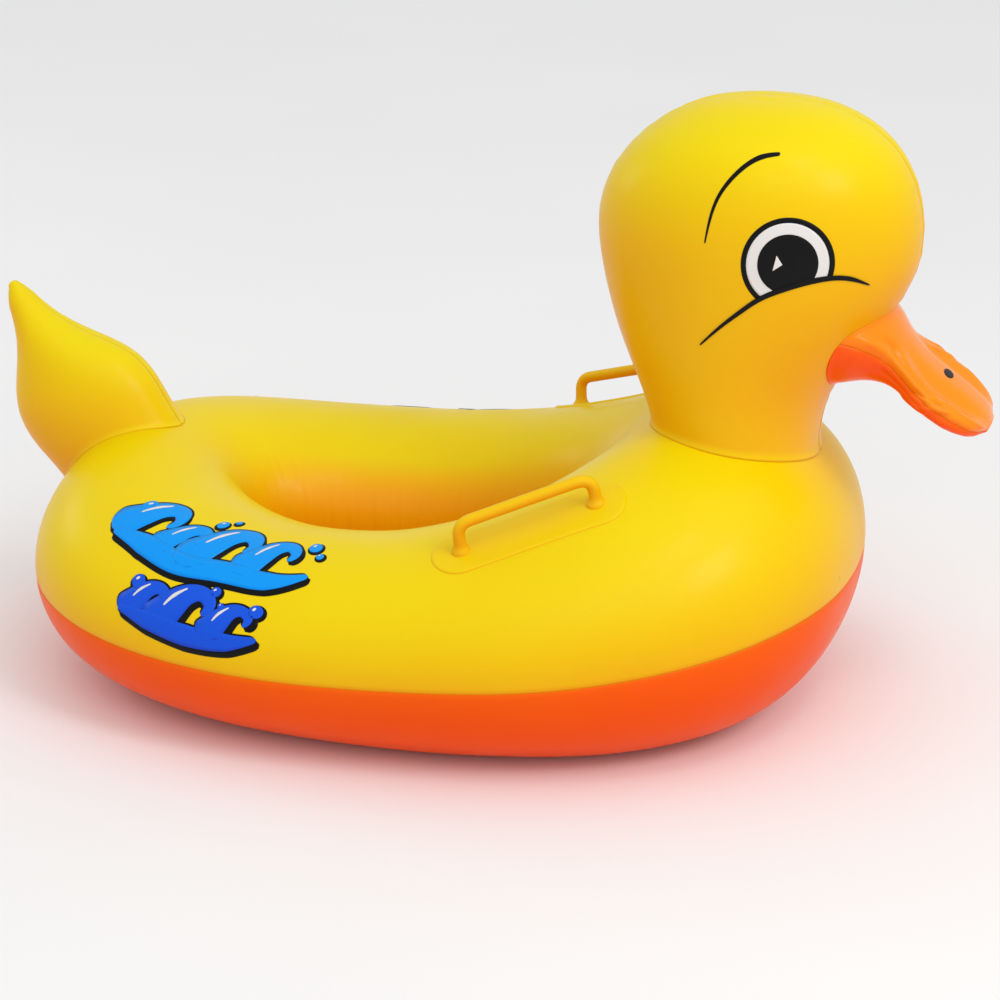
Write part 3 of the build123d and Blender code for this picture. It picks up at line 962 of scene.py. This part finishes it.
FOOT_FLARE, FOOT_FADE = 3.6, 3.2  # how much wider a foot is, and the height over which it narrows
PAD_BEAD = 0.35  # height of the rolled bead round a pad
for word, side in SIDES:
    rear, rear_out = ring_turn_point(radians(REAR_FOOT[0]) * side, radians(REAR_FOOT[1]))
    front, _ = ring_turn_point(radians(FRONT_FOOT[0]) * side, radians(FRONT_FOOT[1]))
    up = rear_out + np.array([0, 0, 1.0])
    up /= np.linalg.norm(up)
    along = (front - rear) / np.linalg.norm(front - rear)
    pad_up = up - along * np.dot(up, along)
    pad_up /= np.linalg.norm(pad_up)
    pad_side = np.cross(pad_up, along)
    middle = (rear + front) / 2 + pad_up * 60

    # The pad: a stadium of film, thick in the middle and rolled off at its edge.
    half, end_radius = PAD_LENGTH / 2 - PAD_WIDTH / 2, PAD_WIDTH / 2
    angle = np.arange(120) / 120 * tau
    ends = np.stack([np.sign(np.cos(angle)) * half, 0 * angle], 1)
    outline = ends + end_radius * np.stack([np.cos(angle), np.sin(angle)], 1)
    # Points are spread evenly round the outline, so the long sides follow the ring's curve.
    closed = np.vstack([outline, outline[:1]])
    travel = chord(closed)
    even = np.arange(240) / 240 * travel[-1]
    outline = np.stack([np.interp(even, travel, closed[:, column]) for column in (0, 1)], 1)
    share = np.array([0.0, 0.3, 0.55, 0.75, 0.86, 0.92, 0.95, 0.97, 0.985, 1.0])
    # Rings shrink towards the middle line of the stadium, so the edge keeps its width all round.
    spine_points = np.stack([np.clip(outline[:, 0], -half, half), 0 * outline[:, 1]], 1)
    flat = spine_points + (outline - spine_points) * share[:, None, None]
    edge = np.clip((1 - share) / 0.08, 0, 1)
    bead = PAD_BEAD * np.exp(-(((share - 0.90) / 0.03) ** 2))
    lift = (PAD_THICK * np.sqrt(1 - (1 - edge) ** 2) + bead)[:, None] * np.ones(len(outline))[None, :]
    start = middle + flat[..., :1] * along + flat[..., 1:] * pad_side
    landed = land(start, -pad_up, ring_tree, lift)
    pad = grid_mesh(f"handle_pad_skin_{word}", faced(landed, pad_up, True), False, True)
    finish_piece(pad, PAD, [f"handle_pad_{word}"])

    # The handle: a moulded bow whose feet flare out onto the pad.
    line = bow(rear, front, up)
    height = np.minimum(chord(line), chord(line[::-1])[::-1])
    radii = GRIP_RADIUS + FOOT_FLARE * np.exp(-((np.clip(height - 1.5, 0, None) / FOOT_FADE) ** 1.4))
    grid = tube(line, radii)
    for end in (0, -1):
        grid[end] = land(grid[end] + up * 12, -up, ring_tree, 0.9)
    handle = grid_mesh(f"handle_bow_{word}", grid, False, True)
    finish_piece(handle, GRIP, [f"handle_{word}"])


# ---------------------------------------------------------------- weld rings round the valve flanges
WELD_RING, WELD_BEAD, WELD_LIFT = 10.3, 0.55, 1.5  # the ring's radius, its bead's radius, and its lift
for valve, skin_tree in VALVE_TREES.items():
    pull = next(joint for joint in frame["joints"] if joint["name"] == f"{valve}_valve_pull")
    out = np.array(pull["axis"], float)
    low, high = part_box(f"{valve}_valve_flange")
    middle = (np.array(low) + np.array(high)) / 2 / MM
    across = np.cross(out, (0, 0, 1))
    across /= np.linalg.norm(across)
    upward = np.cross(across, out)
    turn = np.arange(72) / 72 * tau
    rows = []
    for k in range(13):
        bead_angle = pi * k / 12
        radius = WELD_RING - WELD_BEAD * np.cos(bead_angle)
        spoke = np.cos(turn)[:, None] * across + np.sin(turn)[:, None] * upward
        circle = middle + out * 20 + radius * spoke
        rows.append(land(circle, -out, skin_tree, WELD_LIFT + WELD_BEAD * sin(bead_angle)))
    ridge = grid_mesh(f"{valve}_valve_weld", np.array(rows), False, True)
    finish_piece(ridge, VALVE)


# ---------------------------------------------------------------- flank print: blue waves with bubbles
PRINT_RUN = -652.0  # place along the ring where the print begins, counted back from the bill
PRINT_RISE = 14.0  # degrees up the tube where it begins
PRINT_SCALE = 1.18  # how much longer the flank is than the tube's middle line
RISE_PER_MM = radians(1 / 2.05)  # a degree up the tube takes 2.05 mm of film
FLANK_STEP = 0.008  # each shape of one print sits this much higher than the last
LEFT_SHIFT, LEFT_DROP = 112.0, 17.5  # the left print is so far forward, and so many degrees lower


def flank(side):
    """A function that puts flat print points on one flank of the ring."""
    shift, drop = (LEFT_SHIFT, LEFT_DROP) if side > 0 else (0.0, 0.0)

    def place(flat):
        run = PRINT_RUN + shift + flat[..., 0] / PRINT_SCALE
        rise = radians(PRINT_RISE - drop) + flat[..., 1] * RISE_PER_MM
        points, facing = ring_points(run, rise), ring_normals(run, rise)
        if side > 0:
            points, facing = points * (1, -1, 1), facing * (1, -1, 1)
        return points, facing

    return place


def print_on_flank(name, grids, side, lift, material, round_cols):
    """Lands flat grids on one flank of the ring as thin films."""
    place = flank(side)
    landed = []
    for step, grid in enumerate(grids):
        points, facing = place(grid)
        dropped = land(points + facing * 8, -facing, ring_tree, lift + FLANK_STEP * step)
        landed.append(faced(dropped, facing, round_cols))
    piece = joined_mesh(name, landed, round_cols)
    thicken(piece, INK, outward=True)
    return finish_piece(piece, material)


# One wave crest, curling forward, for a crest one unit high.
CREST = [
    (-0.58, -0.04),
    (-0.44, 0.20),
    (-0.24, 0.50),
    (0.02, 0.76),
    (0.34, 0.80),
    (0.52, 0.60),
    (0.42, 0.42),
]
CREST_WIDTH = [0.60, 0.66, 0.54, 0.40, 0.27, 0.18, 0.10]
SPARKLE = [(-0.40, 0.44), (-0.26, 0.68), (-0.06, 0.86)]
SPARKLE_WIDTH = [0.03, 0.07, 0.03]
# Crests of the two rows: place forward, place up, height, in millimetres on the film.
HIGH_ROW = [(30, 84, 62), (80, 84, 48), (126, 80, 68), (180, 86, 54)]
LOW_ROW = [(88, 10, 44), (126, 5, 58), (170, 8, 42)]
# Swells under them: points along each stroke, and its widths.
HIGH_SWELL = [(6, 82), (50, 84), (100, 78), (150, 82), (190, 80), (226, 92)]
HIGH_SWELL_WIDTH = [8, 24, 26, 26, 22, 6]
LOW_SWELL = [(62, 14), (95, 10), (135, 5), (172, 6), (198, 14)]
LOW_SWELL_WIDTH = [6, 20, 24, 20, 6]
# Drops: place forward, place up, radius.
HIGH_DROPS = [(8, 122, 8), (96, 142, 6), (106, 154, 3.5), (218, 134, 7), (228, 120, 4)]
LOW_DROPS = [(72, 46, 7), (150, 58, 5), (192, 44, 6.5), (160, 44, 3)]
# The black shadow behind a stroke: how far it is shifted, and how much wider it is.
SHADOW_SHIFT, SHADOW_GROW = np.array([3.4, -4.2]), 4.4


def crest(x, y, size, points, widths):
    """One stroke of a crest, placed and sized."""
    return np.array(points) * (size * 0.80, size) + (x, y), np.array(widths) * size


def wave_row(name, material, row, swell, swell_width, drops):
    """Lays a row of crests, its swell and its drops over a black shadow on both flanks."""
    for word, side in SIDES:
        strokes, shadows, sparkles, spots, dark_spots, lights = [], [], [], [], [], []
        for x, y, size in row:
            points, widths = crest(x, y, size, CREST, CREST_WIDTH)
            strokes.append(stroke(points, widths, 44, 6))
            shadows.append(stroke(points, widths + SHADOW_GROW, 44, 6))
            shadows.append(stroke(points + SHADOW_SHIFT, widths + SHADOW_GROW, 44, 6))
            points, widths = crest(x, y, size, SPARKLE, SPARKLE_WIDTH)
            sparkles.append(stroke(points, widths, 20, 3))
        points, widths = np.array(swell, float), np.array(swell_width, float)
        strokes.append(stroke(points, widths, 90, 6))
        shadows.append(stroke(points, widths + SHADOW_GROW, 90, 6))
        shadows.append(stroke(points + SHADOW_SHIFT, widths + SHADOW_GROW, 90, 6))
        for x, y, radius in drops:
            tall = radius * 1.15
            spots.append(spread(ellipse(x, y, radius, tall, 20, 32), 6))
            dark_spots.append(spread(ellipse(x + 1.4, y - 1.8, radius + 2.2, tall + 2.2, 20, 32), 6))
            light = ellipse(x - radius * 0.3, y + radius * 0.4, radius * 0.2, radius * 0.32, -30, 20)
            lights.append(spread(light, 4))
        print_on_flank(f"{name}_shadow_{word}", shadows, side, 0.12, BLACK, False)
        print_on_flank(f"{name}_drop_shadow_{word}", dark_spots, side, 0.12, BLACK, True)
        print_on_flank(f"{name}_{word}", strokes, side, 0.45, material, False)
        print_on_flank(f"{name}_drops_{word}", spots, side, 0.45, material, True)
        print_on_flank(f"{name}_sparkles_{word}", sparkles, side, 0.75, WHITE, False)
        print_on_flank(f"{name}_drop_lights_{word}", lights, side, 0.75, WHITE, True)


wave_row("high_waves", SKY, HIGH_ROW, HIGH_SWELL, HIGH_SWELL_WIDTH, HIGH_DROPS)
wave_row("low_waves", SEA, LOW_ROW, LOW_SWELL, LOW_SWELL_WIDTH, LOW_DROPS)


# ---------------------------------------------------------------- floor, light and camera
def floor_material():
    """A pale studio floor with the faintest mottle."""
    material = bpy.data.materials.new("studio_floor")
    material.use_nodes = True
    tree = material.node_tree
    shader = tree.nodes["Principled BSDF"]
    coordinates = tree.nodes.new("ShaderNodeTexCoord").outputs["Object"]
    shade = noise(tree, 1.5, 2.0, 0.0, 1.0, coordinates)
    tree.links.new(mixed(tree, shade, (0.93, 0.93, 0.93), (0.91, 0.91, 0.915)), shader.inputs["Base Color"])
    shader.inputs["Roughness"].default_value = 0.9
    shader.inputs["Specular IOR Level"].default_value = 0.1
    return material


FLOOR_REACH = 14000.0
floor_ends = (-FLOOR_REACH, FLOOR_REACH)
floor_points = np.array([[(x, y, 0.0) for y in floor_ends] for x in floor_ends])
floor = grid_mesh("studio_floor", floor_points)
floor.data.materials.append(floor_material())

world = bpy.data.worlds.new("studio")
world.use_nodes = True
world.node_tree.nodes["Background"].inputs["Color"].default_value = (1.0, 1.0, 1.0, 1.0)
world.node_tree.nodes["Background"].inputs["Strength"].default_value = 0.72
bpy.context.scene.world = world


def direction(azimuth, elevation):
    """Unit vector out from the float: azimuth 0 is -Y and 90 is +X."""
    a, e = radians(azimuth), radians(elevation)
    return Vector((sin(a) * cos(e), -cos(a) * cos(e), sin(e)))


def softbox(name, azimuth, elevation, distance, width, height, watts):
    """A soft rectangular light that points at the middle of the float."""
    light = bpy.data.lights.new(name, "AREA")
    light.shape = "RECTANGLE"
    light.size, light.size_y, light.energy = width, height, watts
    lamp = bpy.data.objects.new(name, light)
    bpy.context.scene.collection.objects.link(lamp)
    way = direction(azimuth, elevation)
    lamp.location = Vector((0.0, 0.0, 0.25)) + way * distance
    lamp.rotation_mode = "QUATERNION"
    lamp.rotation_quaternion = (-way).to_track_quat("-Z", "Y")


# Softboxes: azimuth, elevation, distance, width, height, watts.
softbox("key", 60, 36, 3.0, 0.90, 0.80, 15.0)
softbox("tail_key", 50, 58, 3.2, 0.60, 0.60, 6.0)
softbox("front", 20, 40, 3.2, 1.20, 0.60, 3.0)
softbox("back_left", -105, 20, 3.2, 0.90, 0.70, 4.0)

sun_light = bpy.data.lights.new("sky_wash", "SUN")
sun_light.energy, sun_light.angle = 0.42, radians(75)
sun = bpy.data.objects.new("sky_wash", sun_light)
bpy.context.scene.collection.objects.link(sun)
sun.rotation_mode = "QUATERNION"
sun.rotation_quaternion = (-direction(40, 55)).to_track_quat("-Z", "Y")

CAMERA_AIM = Vector((19.9, 0.0, 182.2)) * MM
CAMERA_AZIMUTH, CAMERA_ELEVATION, CAMERA_DISTANCE = 15.86, 20.13, 2.832
lens = bpy.data.cameras.new("camera")
lens.lens, lens.sensor_width = 98.1, 36.0
lens.clip_start, lens.clip_end = 0.05, 60.0
camera = bpy.data.objects.new("camera", lens)
bpy.context.scene.collection.objects.link(camera)
back = direction(CAMERA_AZIMUTH, CAMERA_ELEVATION)
camera.location = CAMERA_AIM + back * CAMERA_DISTANCE
camera.rotation_mode = "QUATERNION"
camera.rotation_quaternion = (-back).to_track_quat("-Z", "Y")
bpy.context.scene.camera = camera
bpy.context.scene.view_settings.view_transform = "Standard"
